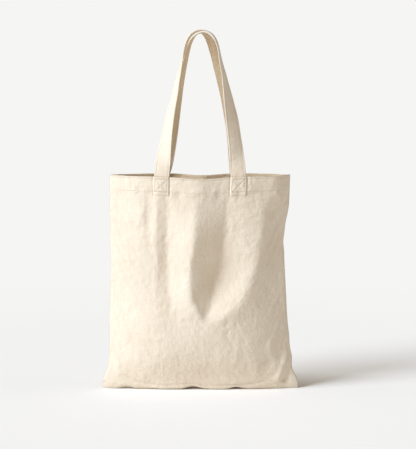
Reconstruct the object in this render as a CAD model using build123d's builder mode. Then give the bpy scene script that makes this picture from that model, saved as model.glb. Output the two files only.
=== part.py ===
from build123d import *
import math
import os
from collections import namedtuple

# A cotton canvas tote bag: two flat panels sewn down both sides and along the bottom, a turned-over hem
# round the mouth, and two long self-fabric handles sewn inside the hem with a crossed box of stitches.
#
# The bag stands open and lightly filled. Its frame has X across the width, Y from the front panel to the
# back panel and Z up, with the origin on the floor below the middle of the bag. All sizes are millimetres.

# ---- Cloth and thread ----
CANVAS = 0.8  # one layer of canvas
THREAD = 0.9  # width of a row of stitches
THREAD_PROUD = 0.25  # how far a stitch stands off the cloth

# ---- Bag ----
BAG_HEIGHT = 420.0  # floor to rim
HEM_DEPTH = 30.0  # height of the turned-over hem
HEM_LAYERS = 2  # layers of canvas folded inside the panel at the hem
STITCH_IN = 2.6  # distance of each hem stitch row from the hem's own edge

# The front wall's plan at a height: a flat stretch of half width `flat`, standing `bulge` in front of the
# seams, joined to the side seams at `half_width` by an arc on each side. Every plan is about 380 mm round,
# which is the width of the panel laid flat.
Station = namedtuple("Station", "z half_width bulge flat")
HEM_STATION = Station(BAG_HEIGHT - HEM_DEPTH - 2.0, 172.0, 49.0, 92.0)
STATIONS = [
    Station(0.0, 188.0, 18.0, 110.0),
    Station(40.0, 181.0, 38.0, 80.0),
    Station(100.0, 173.0, 52.0, 62.0),
    Station(180.0, 169.0, 59.0, 54.0),
    Station(260.0, 168.5, 58.0, 60.0),
    Station(330.0, 170.0, 53.0, 76.0),
    HEM_STATION,
]

# ---- Seam allowances, inside the bag ----
SEAM_WIDTH = 10.0
SEAM_THICK = 2 * CANVAS
OVERLOCK_WRAP = 3.0  # how far the overlock thread reaches in from the cut edge
OVERLOCK_PROUD = 0.3
SEAM_START = 0.1  # the allowance starts this far inside the panels' meeting line
FOOT_FLARE = 4.0  # the side seam runs this much further out at its foot
CORNER_STOP = 14.0  # the bottom allowance stops this far short of each corner

# ---- Handles ----
STRAP_WIDTH = 30.0
STRAP_THICK = 2.4  # a strip folded into four and pressed
STRAP_X = 74.0  # middle of the bag to the middle of each handle end
END_LENGTH = 34.0  # part of the strap that is sewn inside the hem
BOX_SIZE = 24.0  # crossed box of stitches
BOX_BELOW_RIM = 16.0  # rim to the middle of the box
EDGE_STITCH = 11.5  # strap's centreline to each row of edge stitches
HINGE_GAP = 0.5  # rim to the first section of the free strap
ARCH_LEAN = 4.0  # each arch's top stands this far to the right of its feet
ARCH_YAW = math.radians(8.0)  # the straps cross the top a little askew
APEX_Y = 16.4  # depth of the strap's centreline at the top, from the bag's middle plane
TWIST_RISE = 235.0  # height over which the strap turns from flat-on to edge-on
TWIST_STEPS = 24

# `side` is -1 for the front handle and 1 for the back one. `rise` is the height of the arch's top above the
# rim, and `half` has points of half of its centreline, as (distance from the arch's axis, height).
Arch = namedtuple("Arch", "name side rise half")
FRONT_HALF = [(74.0, 0.0), (68.5, 55.0), (59.5, 112.0), (46.0, 180.0), (35.5, 228.0), (24.0, 264.0)]
BACK_HALF = [(74.0, 0.0), (67.5, 55.0), (57.5, 112.0), (42.5, 180.0), (31.0, 228.0), (19.5, 262.0)]
ARCHES = [Arch("front", -1, 281.0, FRONT_HALF), Arch("back", 1, 278.0, BACK_HALF)]

FACING_INNER = HEM_STATION.bulge - CANVAS * (1 + HEM_LAYERS)  # the flat that the handle ends lie on
STRAP_Y = FACING_INNER - STRAP_THICK / 2


def half_outline(station, inset):
    """Left tip, middle of the arc and start of the flat of the front wall, moved `inset` inwards."""
    run = station.half_width - station.flat
    radius = (run**2 + station.bulge**2) / (2 * station.bulge)
    centre_y = radius - station.bulge
    inner = radius - inset
    opening = math.acos(centre_y / inner)

    def on_arc(angle):
        return (-station.flat - inner * math.sin(angle), centre_y - inner * math.cos(angle))

    return on_arc(opening), on_arc(opening / 2), on_arc(0.0)


def draw_wall(tip, middle, flat):
    """The wall's curve from the left seam to the right one, into the open BuildLine."""
    ThreePointArc(tip, middle, flat)
    Line(flat, (-flat[0], flat[1]))
    ThreePointArc((-flat[0], flat[1]), (-middle[0], middle[1]), (-tip[0], tip[1]))


def wall_band(station, outer, inner, z=None):
    """The strip of plan between two insets of the front wall, as a sketch at the station's height."""
    with BuildSketch(Plane.XY.offset(station.z if z is None else z)) as band:
        with BuildLine():
            tip, middle, flat = half_outline(station, outer)
            inner_tip, inner_middle, inner_flat = half_outline(station, inner)
            draw_wall(tip, middle, flat)
            draw_wall(inner_tip, inner_middle, inner_flat)
            Line(tip, inner_tip)
            Line((-tip[0], tip[1]), (-inner_tip[0], inner_tip[1]))
        make_face()
    return band.sketch


def base_half(station):
    """The front half of the bag's footprint."""
    with BuildSketch(Plane.XY.offset(station.z)) as base:
        with BuildLine():
            tip, middle, flat = half_outline(station, 0.0)
            draw_wall(tip, middle, flat)
            Line(tip, (-tip[0], tip[1]))
        make_face()
    return base.sketch


def arch_line(arch):
    """Centreline of a free strap, from its left foot to its right foot."""
    profile = [(-x, h) for x, h in arch.half] + [(0.0, arch.rise)] + arch.half[::-1]
    points = []
    for x, h in profile:
        share = h / arch.rise
        depth = STRAP_Y + (APEX_Y - STRAP_Y) * share
        points.append((x + ARCH_LEAN * share, arch.side * depth, BAG_HEIGHT + HINGE_GAP + h))
    return Spline(*points, tangents=[(0, 0, 1), (0, 0, -1)], mode=Mode.PRIVATE)


def strap_steps(arch):
    """(place, direction across the strap) at even steps along a free strap."""
    line = arch_line(arch)
    found = []
    for i in range(TWIST_STEPS + 1):
        place = line.position_at(i / TWIST_STEPS)
        along = line.tangent_at(i / TWIST_STEPS).normalized()
        turn = math.radians(90.0) * min(1.0, (place.Z - BAG_HEIGHT - HINGE_GAP) / TWIST_RISE)
        outward = Vector(-along.Z, 0, along.X).normalized()
        deep = Vector(math.sin(ARCH_YAW), math.cos(ARCH_YAW), 0)
        width = outward * math.cos(turn) + deep * (-arch.side * math.sin(turn))
        found.append((place, (width - along * width.dot(along)).normalized()))
    return found


def strap_sweep(arch, across, width, thickness):
    """Sweeps a flat section along a free strap into the open BuildPart, `across` to the side of its middle."""
    steps = strap_steps(arch)
    path = Spline(*[place + turn * across for place, turn in steps], mode=Mode.PRIVATE)
    guide = Spline(*[place + turn * (across + STRAP_WIDTH) for place, turn in steps], mode=Mode.PRIVATE)
    with BuildSketch(Plane(origin=path @ 0, x_dir=steps[0][1], z_dir=(0, 0, 1))) as section:
        Rectangle(width, thickness)
    sweep(sections=section.sketch, path=path, binormal=guide)


def box_stitch(x):
    """A square of stitches with both diagonals, seen from the front, behind the free edge of the hem."""
    depth = STRAP_Y - STRAP_THICK / 2 - THREAD_PROUD
    with BuildSketch(Plane.XZ.offset(depth)) as box:
        with Locations((x, BAG_HEIGHT - BOX_BELOW_RIM)):
            Rectangle(BOX_SIZE + THREAD, BOX_SIZE + THREAD)
            Rectangle(BOX_SIZE - THREAD, BOX_SIZE - THREAD, mode=Mode.SUBTRACT)
            for angle in (45, -45):
                Rectangle(BOX_SIZE * math.sqrt(2), THREAD, rotation=angle)
    return box.sketch


def write(part, name):
    """Labels a finished piece and saves it."""
    part.label = name
    export_step(part, f"parts/{name}.step")


os.makedirs("parts", exist_ok=True)

# ---- Panels: a lofted wall, the straight stretch behind the hem, and half of the footprint ----
with BuildPart() as front_panel:
    loft(sections=[wall_band(station, 0.0, CANVAS) for station in STATIONS])
    extrude(to_extrude=wall_band(HEM_STATION, 0.0, CANVAS), amount=BAG_HEIGHT - HEM_STATION.z)
    extrude(to_extrude=base_half(STATIONS[0]), amount=CANVAS)
write(front_panel.part, "front_panel")

with BuildPart() as back_panel:
    mirror(front_panel.part, about=Plane.XZ)
write(back_panel.part, "back_panel")

# ---- Hem: the cloth folded to the inside round the mouth, and its two rows of stitches ----
hem_bottom = BAG_HEIGHT - HEM_DEPTH
facing_inset = CANVAS * (1 + HEM_LAYERS)
with BuildPart() as front_hem_facing:
    extrude(to_extrude=wall_band(HEM_STATION, CANVAS, facing_inset, hem_bottom), amount=HEM_DEPTH)
write(front_hem_facing.part, "front_hem_facing")

with BuildPart() as back_hem_facing:
    mirror(front_hem_facing.part, about=Plane.XZ)
write(back_hem_facing.part, "back_hem_facing")

with BuildPart() as front_hem_stitching:
    for row in (hem_bottom + STITCH_IN, BAG_HEIGHT - STITCH_IN):
        ring = wall_band(HEM_STATION, -THREAD_PROUD, facing_inset + THREAD_PROUD, row - THREAD / 2)
        extrude(to_extrude=ring, amount=THREAD)
write(front_hem_stitching.part, "front_hem_stitching")

with BuildPart() as back_hem_stitching:
    mirror(front_hem_stitching.part, about=Plane.XZ)
write(back_hem_stitching.part, "back_hem_stitching")

# ---- Seam allowances: two layers standing inwards from each seam, with overlock thread on the cut edge ----
seam_bottom = CANVAS + SEAM_WIDTH + 1.0
side_stations = [station for station in STATIONS if station.z > seam_bottom]
tips = [(half_outline(station, CANVAS)[0][0], station.z) for station in side_stations]
tips.insert(0, (tips[0][0] - FOOT_FLARE, seam_bottom))


def seam_strip(start, end):
    """A strip of the X-Z plane beside the left seam, from `start` to `end` in from the canvas's inner tip."""
    near = [(x + start, z) for x, z in tips]
    far = [(x + end, z) for x, z in tips]
    with BuildSketch(Plane.XZ) as strip:
        with BuildLine():
            Spline(*near)
            Spline(*far)
            Line(near[0], far[0])
            Line(near[-1], far[-1])
        make_face()
    return strip.sketch


with BuildPart() as left_seam_allowance:
    extrude(to_extrude=seam_strip(SEAM_START, SEAM_WIDTH), amount=SEAM_THICK / 2, both=True)
    add(front_panel.part, mode=Mode.SUBTRACT)
    add(back_panel.part, mode=Mode.SUBTRACT)
write(left_seam_allowance.part, "left_seam_allowance")

with BuildPart() as right_seam_allowance:
    mirror(left_seam_allowance.part, about=Plane.YZ)
write(right_seam_allowance.part, "right_seam_allowance")

with BuildPart() as left_overlock_thread:
    wrap = seam_strip(SEAM_WIDTH - OVERLOCK_WRAP, SEAM_WIDTH + OVERLOCK_PROUD)
    extrude(to_extrude=wrap, amount=SEAM_THICK / 2 + OVERLOCK_PROUD, both=True)
    add(left_seam_allowance.part, mode=Mode.SUBTRACT)
write(left_overlock_thread.part, "left_overlock_thread")

with BuildPart() as right_overlock_thread:
    mirror(left_overlock_thread.part, about=Plane.YZ)
write(right_overlock_thread.part, "right_overlock_thread")

bottom_seam_half = STATIONS[0].half_width - CORNER_STOP
with BuildPart() as bottom_seam_allowance:
    with BuildSketch(Plane.XY.offset(CANVAS)):
        Rectangle(2 * bottom_seam_half, SEAM_THICK)
    extrude(amount=SEAM_WIDTH)
write(bottom_seam_allowance.part, "bottom_seam_allowance")

with BuildPart() as bottom_overlock_thread:
    with BuildSketch(Plane.XY.offset(CANVAS + SEAM_WIDTH - OVERLOCK_WRAP)):
        Rectangle(2 * bottom_seam_half, SEAM_THICK + 2 * OVERLOCK_PROUD)
    extrude(amount=OVERLOCK_WRAP + OVERLOCK_PROUD)
    add(bottom_seam_allowance.part, mode=Mode.SUBTRACT)
write(bottom_overlock_thread.part, "bottom_overlock_thread")

# ---- Handle ends, sewn inside the hem, each with its crossed box of stitches ----
box_depth = HEM_STATION.bulge - STRAP_Y + STRAP_THICK / 2 + 2 * THREAD_PROUD
for place, x in (("left", -STRAP_X), ("right", STRAP_X)):
    with BuildPart() as front_end:
        with BuildSketch(Plane.XY.offset(BAG_HEIGHT - END_LENGTH)):
            with Locations((x, -STRAP_Y)):
                Rectangle(STRAP_WIDTH, STRAP_THICK)
        extrude(amount=END_LENGTH)
    write(front_end.part, f"front_handle_{place}_end")

    with BuildPart() as back_end:
        mirror(front_end.part, about=Plane.XZ)
    write(back_end.part, f"back_handle_{place}_end")

    with BuildPart() as front_box:
        extrude(to_extrude=box_stitch(x), amount=box_depth)
    write(front_box.part, f"front_{place}_box_stitching")

    with BuildPart() as back_box:
        mirror(front_box.part, about=Plane.XZ)
    write(back_box.part, f"back_{place}_box_stitching")

# ---- Free straps: each turns from flat-on at the rim to edge-on over the top of its arch ----
for arch in ARCHES:
    with BuildPart() as strap:
        strap_sweep(arch, 0.0, STRAP_WIDTH, STRAP_THICK)
    write(strap.part, f"{arch.name}_handle")

    with BuildPart() as edge_rows:
        for across in (-EDGE_STITCH, EDGE_STITCH):
            strap_sweep(arch, across, THREAD, STRAP_THICK + 2 * THREAD_PROUD)
    write(edge_rows.part, f"{arch.name}_handle_stitching")
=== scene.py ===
import math

import bpy
import numpy as np
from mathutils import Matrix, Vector


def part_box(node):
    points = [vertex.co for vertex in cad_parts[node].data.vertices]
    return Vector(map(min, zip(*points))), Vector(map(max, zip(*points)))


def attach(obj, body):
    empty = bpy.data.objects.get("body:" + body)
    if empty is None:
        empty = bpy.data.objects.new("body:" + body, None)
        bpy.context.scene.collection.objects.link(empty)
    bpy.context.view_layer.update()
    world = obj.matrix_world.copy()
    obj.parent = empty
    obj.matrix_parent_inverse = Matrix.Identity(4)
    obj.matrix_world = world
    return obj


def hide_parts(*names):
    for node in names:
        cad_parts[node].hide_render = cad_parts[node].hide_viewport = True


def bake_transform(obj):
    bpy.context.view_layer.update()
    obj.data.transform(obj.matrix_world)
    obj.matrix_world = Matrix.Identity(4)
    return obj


# A canvas tote bag standing open. Sizes are in millimetres; meshes, lights and camera are in metres.

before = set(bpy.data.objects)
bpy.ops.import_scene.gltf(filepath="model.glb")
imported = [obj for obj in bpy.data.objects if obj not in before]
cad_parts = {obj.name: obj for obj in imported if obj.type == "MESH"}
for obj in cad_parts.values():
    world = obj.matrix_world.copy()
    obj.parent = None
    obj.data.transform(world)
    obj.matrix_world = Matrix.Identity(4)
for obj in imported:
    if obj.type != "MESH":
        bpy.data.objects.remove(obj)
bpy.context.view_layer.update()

MM = 0.001

# ---- Sizes from the frame ----
panel_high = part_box("front_panel")[1]
left_low, left_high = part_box("front_handle_left_end")
right_low, right_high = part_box("front_handle_right_end")
box_low, box_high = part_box("front_left_box_stitching")
CAD_ROW_WIDTH = 0.9  # of the CAD's rows of stitches
HALF_FOOT = panel_high.x / MM
RIM_Z = panel_high.z / MM
HEM_DEPTH = RIM_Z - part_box("front_hem_facing")[0].z / MM
END_DEPTH = RIM_Z - left_low.z / MM  # a strap end's, below the rim
STRAP_WIDTH = (left_high.x - left_low.x) / MM
STRAP_THICK = (left_high.y - left_low.y) / MM
STRAP_X = (right_high.x + right_low.x) / 2 / MM
BOX_SIZE = (box_high.x - box_low.x) / MM - CAD_ROW_WIDTH
BOX_DOWN = RIM_Z - (box_high.z + box_low.z) / 2 / MM
SEAM_WIDTH = 10.0

CANVAS = 0.8
FLAT_WIDTH = 2 * HALF_FOOT + 4.0  # the cut width of a panel between its seams
HEM_THICK = 3 * CANVAS
STITCH_IN = 2.6  # a hem stitch row's distance from the hem's own edge

# ---- The grid of a panel: columns across, rows up from the bottom seam ----
COLUMNS = 96
ROWS = 106
PLAIN_COLUMN, PATCH_COLUMN = 2.3, 1.0  # column spacing of the finished cloth, and the same at the strap ends
PATCH_EDGE, PATCH_FADE = 4, 6  # the fine columns go this far past a strap end, then widen over this much
BODY_STEP = 2.4  # row spacing below the hem
FINER = 4  # the relaxed grid is divided by this before it is sampled
HEM_ROWS = np.concatenate([np.linspace(0, 29.4, 31), [30.3, 31.5, 33.0, 34.8, 36.9]])  # distances below the rim

# ---- Distance of each side seam from the middle, by height ----
LEFT_SEAM = [(0, 192.5), (12, 192.5), (24, 188), (40, 182), (57, 179.5), (118, 177.5), (266, 174), (340, 175.5),
             (420, 176)]
RIGHT_SEAM = [(0, 193.5), (13, 193.5), (25, 188), (38, 180.5), (47, 179), (60, 180), (118, 172.5), (192, 167.5),
              (262, 164.5), (291, 161), (318, 165.5), (357, 172.5), (420, 174)]
SEAM_WAVE, SEAM_WAVE_LENGTH, SEAM_WAVE_FADE = 0.9, 24, 60  # small bends, which fade towards the foot
FOOT_BULGE = 13.0  # the footprint's edge, in front of the bottom seam
FOOT_ROUND = 8.0  # radius where the wall turns under
TURN_SHARE = 0.6  # the most of the depth there that the radius may take
CURVE_STEPS = 8
CORNER_ROUND, CORNER_POWER, UNDER_ROUND = 7.0, 12, 0.8  # of the bottom corners; last, its share above them
RIM_DIP, DIP_X, DIP_HALF = 4.0, 5, 48.0  # how much lower the rim's middle hangs, and where
DIP_FOOT, DIP_RISE = 300, 120  # the dip starts at this height and is full this much higher

# ---- Folds: each line runs up a panel, as (height above the floor, x, distance off the plain bulge) ----
def still(x):
    """A line that stays on the plain bulge."""
    return [(0, x, 0), (420, x, 0)]


FRONT_FOLDS = [
    still(-140), still(-112),
    [(0, -98, 0), (230, -98, 0), (300, -98, -3), (360, -98, -5), (412, -96, -4), (420, -96, -1)],
    still(-84),
    [(0, -52, 0), (80, -52, 0), (127, -54, -3), (185, -58, -6), (240, -62, -8), (330, -64, -8), (420, -62, -4)],
    [(0, -20, 0), (141, 4, 0), (154, 0, 4), (170, -9, 8), (184, -20, 11), (214, -19, 15), (255, -18, 17),
     (298, -11, 14), (345, -8, 8), (385, -6, 5), (420, -10, 4)],
    [(0, 10, 0), (141, 11, 0), (158, 15, -7), (195, 25, -17), (241, 34, -21), (310, 46, -16), (345, 50, -11),
     (385, 52, -7), (420, 48, -5)],
    [(0, 40, 0), (137, 33, 0), (152, 41, 4), (168, 70, 6), (200, 92, 8), (265, 115, 9), (339, 124, 7),
     (385, 116, 3), (420, 112, 1)],
    [(0, 140, 0), (143, 140, -1), (265, 142, -3), (330, 146, -2), (375, 147, 7), (420, 147, 10)],
]
BACK_FOLDS = [
    still(-140),
    [(0, -70, 0), (90, -72, 0), (170, -84, -5), (260, -96, -9), (350, -100, -8), (420, -98, -3)],
    [(0, -20, 0), (110, -28, 0), (190, -40, 8), (280, -46, 11), (360, -44, 9), (420, -40, 5)],
    [(0, 20, 0), (130, 12, 0), (200, 6, -7), (290, 2, -12), (360, 4, -11), (420, 8, -6)],
    [(0, 60, 0), (150, 50, 2), (230, 44, 8), (320, 48, 10), (420, 50, 5)],
    [(0, 100, 0), (240, 104, -3), (340, 106, -5), (420, 104, -2)],
    still(140),
]

# Short creases, as (one end, the other end, half width, height).
FRONT_CREASES = [
    ((173, 70), (153, 22), 4.6, 4.6), ((150, 66), (126, 60), 8.0, -4.4), ((178, 42), (168, 20), 6.0, -4.4),
    ((136, 92), (150, 42), 5.0, 2.4), ((158, 300), (142, 352), 5.5, -2.6), ((163, 262), (150, 338), 5.0, 2.2),
    ((150, 372), (134, 350), 6.0, -2.4), ((165, 368), (146, 388), 5.0, 2.0),
    ((-150, 26), (-120, 14), 5.0, -2.2), ((-166, 60), (-150, 24), 7.0, 1.8),
    ((-172, 330), (-152, 356), 6.0, -1.6), ((-106, 366), (-118, 330), 4.0, 1.4),
    ((96, 96), (108, 30), 8.0, 1.3), ((30, 92), (20, 30), 9.0, -1.0),
]
BACK_CREASES = [
    ((168, 70), (146, 20), 6.0, 3.0), ((-168, 64), (-148, 24), 6.0, 2.6), ((-150, 60), (-120, 52), 8.0, -2.6),
    ((150, 300), (128, 350), 6.0, -2.2), ((-160, 290), (-140, 350), 6.0, 2.0),
]
FOOT_ARCHES = [(-144, 10.0, 4.2), (-13, 13.0, 5.4), (70, 10.0, 4.0)]  # x, half width, height off the floor
ARCH_FADE = 25.0  # an arch has died out at this height
FOLD_BLUR, RIM_BLUR, UP_BLUR = 3.8, 11.0, 6.0  # rounding of folds: across, across at the rim, upwards
RIM_BLUR_FOOT, RIM_BLUR_RISE = 375.0, 40.0
FOLD_FADE = 22.0  # folds run out this close to the side seams

# ---- The plain bulge of a panel ----
SLACK = 2.5  # this much cloth is left in each row for the simulation to crumple
BULGE_POWER = 2.7
LEAST_BULGE, MOST_BULGE, HALVINGS = 4.0, 95.0, 20
BULGE_BLUR = 22.0

# ---- Fine sampling, for adding up the folds ----
ACROSS = 1.0
PLAN = np.arange(-200.0, 200.0 + ACROSS, ACROSS)
WALL_ROWS, WALL_POINTS = 140, 700


def ease(t):
    t = np.clip(t, 0.0, 1.0)
    return t * t * (3 - 2 * t)


def soften(values, spacing, radius, axis=-1):
    """A Gaussian blur of that radius along one axis, with the ends held."""
    reach = int(math.ceil(3 * radius / spacing))
    kernel = np.exp(-0.5 * (np.arange(-reach, reach + 1) * spacing / radius) ** 2)
    kernel /= kernel.sum()
    pad = [(0, 0)] * values.ndim
    pad[axis] = (reach, reach)
    wide = np.pad(values, pad, mode="edge")
    return np.apply_along_axis(lambda row: np.convolve(row, kernel, mode="valid"), axis, wide)


def by_height(points, z):
    """Reads a list of (height, value) at heights z, with its corners rounded off."""
    spacing, radius = 2.0, 5.0
    heights = np.arange(0.0, RIM_Z + spacing, spacing)
    table = np.interp(heights, [p[0] for p in points], [p[1] for p in points])
    return np.interp(z, heights, soften(table, spacing, radius))


def add_up(gaps):
    """Running totals down the first axis, from zero."""
    return np.concatenate([np.zeros((1, *gaps.shape[1:])), np.cumsum(gaps, axis=0)])


def run_along(points):
    """Distances along a line, or along each column of a grid."""
    return add_up(np.linalg.norm(np.diff(points, axis=0), axis=-1))


def read_line(places, run, line):
    """Points of a line whose own points lie at the distances in run."""
    return np.stack([np.interp(places, run, line[:, axis]) for axis in range(3)], -1)


def spread(fine, step, spacing):
    """Picks places, about step apart, from a fine list with that spacing."""
    count = add_up(0.5 * spacing * (1 / step[1:] + 1 / step[:-1]))
    return np.interp(np.linspace(0, count[-1], round(count[-1]) + 1), count, fine)


def even_places(count):
    """Places across the flat cloth, from seam to seam."""
    return np.linspace(-FLAT_WIDTH / 2, FLAT_WIDTH / 2, count)


def unit(vectors):
    return vectors / np.maximum(np.linalg.norm(vectors, axis=-1, keepdims=True), 1e-9)


def between(grid, j, i, t, s):
    """Reads a grid at row j + t and column i + s."""
    low = grid[j, i] * (1 - s) + grid[j, i + 1] * s
    high = grid[j + 1, i] * (1 - s) + grid[j + 1, i + 1] * s
    return low * (1 - t) + high * t


def noise(u, v, scale_u, scale_v, seed):
    """Smooth noise between about -1 and 1, with the given feature sizes."""
    span_u, span_v, from_u, from_v = 1000, 600, -250, -50  # every place in use lies in this field
    cells_u, cells_v = int(span_u / scale_u) + 4, int(span_v / scale_v) + 4
    table = np.random.default_rng(seed).uniform(-1, 1, (cells_v, cells_u))
    a, b = (u - from_u) / scale_u, (v - from_v) / scale_v
    i, j = np.floor(a).astype(int), np.floor(b).astype(int)
    return between(table, j, i, ease(b - j), ease(a - i))


def line_noise(run, scale, seed):
    """Noise along a line, read off one row of the table."""
    return noise(run, 0 * run, scale, 50, seed)


def ridges(u, v, scale, seed):
    """Noise whose high places are narrow, bent crests, like crumpled cloth."""
    bent, bend_size, crest_round = 0.4 * scale, 1.3 * scale, 0.012
    bent_u = u + bent * noise(u, v, bend_size, bend_size, seed + 50)
    bent_v = v + bent * noise(u, v, bend_size, bend_size, seed + 51)
    wave = noise(bent_u, bent_v, scale, 1.25 * scale, seed)
    return 1 - 2 * np.sqrt(wave * wave + crest_round)


def add_object(name, data):
    obj = bpy.data.objects.new(name, data)
    bpy.context.scene.collection.objects.link(obj)
    return obj


# ---- Panels: the shape before the cloth is relaxed ----
def crease_height(creases, x, z):
    total = np.zeros_like(x)
    for (x0, z0), (x1, z1), width, height in creases:
        dx, dz = x1 - x0, z1 - z0
        along = np.clip(((x - x0) * dx + (z - z0) * dz) / (dx * dx + dz * dz), 0, 1)
        off = np.hypot(x - x0 - along * dx, z - z0 - along * dz)
        total += height * np.exp(-0.5 * (off / width) ** 2)
    return total


def fold_height(folds, creases, z):
    """Height of the folds off the plain bulge: a row for each height in z, sampled along PLAN."""
    rows = np.zeros((len(z), len(PLAN)))
    for j, height in enumerate(z):
        xs, offs = [[np.interp(height, [p[0] for p in line], [p[k] for p in line]) for line in folds]
                    for k in (1, 2)]
        rows[j] = np.interp(PLAN, xs, offs)
    near_rim = ease((z - RIM_BLUR_FOOT) / RIM_BLUR_RISE)[:, None]
    rows = soften(rows, ACROSS, FOLD_BLUR) * (1 - near_rim) + soften(rows, ACROSS, RIM_BLUR) * near_rim
    rows = soften(rows, z[1] - z[0], UP_BLUR, axis=0)
    return rows + crease_height(creases, *np.meshgrid(PLAN, z))


def wall_depth(folds, creases, z, left, right):
    """Distance of the wall in front of the seams, along PLAN at each height in z.

    Each height's plain bulge is found so that the row, folds and all, is as long as the cloth is wide."""
    offs = fold_height(folds, creases, z)
    shapes, bulges = np.zeros_like(offs), np.zeros(len(z))
    for j in range(len(z)):
        middle, half = (right[j] - left[j]) / 2, (right[j] + left[j]) / 2
        shapes[j] = 1 - np.clip(np.abs(PLAN - middle) / half, 0, 1) ** BULGE_POWER
        edge = np.minimum(PLAN + left[j], right[j] - PLAN)
        offs[j] *= ease(edge / FOLD_FADE)
        low, high = LEAST_BULGE, MOST_BULGE
        for _ in range(HALVINGS):
            bulge = (low + high) / 2
            run = np.hypot(np.diff((bulge * shapes[j] + offs[j])[edge >= 0]), ACROSS).sum()
            low, high = (bulge, high) if run < FLAT_WIDTH - SLACK else (low, bulge)
        bulges[j] = max(bulge, FOOT_BULGE)
    return soften(bulges, z[1] - z[0], BULGE_BLUR)[:, None] * shapes + offs


def panel_start(folds, creases):
    """A front panel's points: rows from the bottom seam and up the wall, columns from left to right."""
    z = np.linspace(FOOT_ROUND, RIM_Z, WALL_ROWS)
    left, right = [by_height(seam, z) + SEAM_WAVE * line_noise(z, SEAM_WAVE_LENGTH, seed)
                   * ease(z / SEAM_WAVE_FADE) for seam, seed in ((LEFT_SEAM, 11), (RIGHT_SEAM, 12))]
    depth = wall_depth(folds, creases, z, left, right)
    share = np.linspace(0.0, 1.0, COLUMNS + 1)
    wall = np.zeros((len(z), COLUMNS + 1, 3))
    for j in range(len(z)):
        fine = np.linspace(-left[j], right[j], WALL_POINTS)
        d = np.interp(fine, PLAN, depth[j])
        d -= np.interp(fine, [-left[j], right[j]], [d[0], d[-1]])
        run = add_up(np.hypot(np.diff(fine), np.diff(d)))
        wall[j, :, 0] = np.interp(share, run / run[-1], fine)
        wall[j, :, 1] = -np.interp(share, run / run[-1], d)
        wall[j, :, 2] = z[j]
    foot = wall[0]
    turn = np.minimum(FOOT_ROUND, -TURN_SHARE * foot[:, 1])
    corner = (np.abs(foot[:, 0]) / HALF_FOOT) ** CORNER_POWER
    pull = np.sign(foot[:, 0]) * CORNER_ROUND * np.minimum(corner, 1.0)
    seam = foot * np.array([1, 0, 0])
    seam[:, 0] -= pull
    under = [seam]
    for k in range(CURVE_STEPS):
        angle = math.pi / 2 * k / CURVE_STEPS
        row = foot.copy()
        row[:, 1] = foot[:, 1] + turn * (1 - math.sin(angle))
        row[:, 2] = FOOT_ROUND * (1 - math.cos(angle))
        row[:, 0] -= pull * (1 - math.sin(angle)) ** 2 * UNDER_ROUND
        under.append(row)
    path = np.concatenate([np.array(under), wall])
    run = run_along(path)
    points = np.zeros((ROWS + 1, COLUMNS + 1, 3))
    for i in range(COLUMNS + 1):
        points[:, i] = read_line(np.linspace(0.0, run[-1, i], ROWS + 1), run[:, i], path[:, i])
    dip = RIM_DIP * np.exp(-(((points[..., 0] - DIP_X) / DIP_HALF) ** 2))
    points[..., 2] -= dip * ease((points[..., 2] - DIP_FOOT) / DIP_RISE)
    for x, width, height in FOOT_ARCHES:
        lift = height * np.exp(-0.5 * ((points[..., 0] - x) / width) ** 2)
        points[..., 2] += lift * np.clip(1 - points[..., 2] / ARCH_FADE, 0, 1)
    return points


# ---- Cloth simulation: both panels, joined along their seams, settle from that shape ----
HOLD = 0.25  # how firmly the cloth keeps its start shape; the solver raises it to the fourth power
HEM_HOLD, HEM_HELD = 0.33, 8  # in the hem, and its number of rows
END_HOLD, END_HELD = 0.5, 9  # at the strap ends
FOOT_HELD = 4  # rows along the bottom seam that stay
SOLVER = {"quality": 6, "mass": 0.4, "tension_stiffness": 60.0, "compression_stiffness": 60.0,
          "shear_stiffness": 8.0, "bending_stiffness": 0.3, "air_damping": 4.0, "pin_stiffness": 1.0}
GRAVITY_SHARE = 0.5
EVEN_ROWS = 0.3  # 1 makes all columns of the flat cloth equally long
FRAMES = 20


def grid_faces(index, flip=False):
    faces = np.stack([index[:-1, :-1], index[:-1, 1:], index[1:, 1:], index[1:, :-1]], -1).reshape(-1, 4)
    return faces[:, ::-1] if flip else faces


def flat_pattern(points):
    """The grid laid out flat: each row as wide as the cut cloth, rows spaced about as on the shape."""
    gaps = np.linalg.norm(np.diff(points, axis=0), axis=2)
    gaps = (1 - EVEN_ROWS) * gaps + EVEN_ROWS * gaps.mean(axis=1, keepdims=True)
    height = add_up(gaps)
    width = np.broadcast_to(even_places(points.shape[1]), height.shape)
    return np.stack([width, np.zeros_like(height), height], -1)


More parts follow.
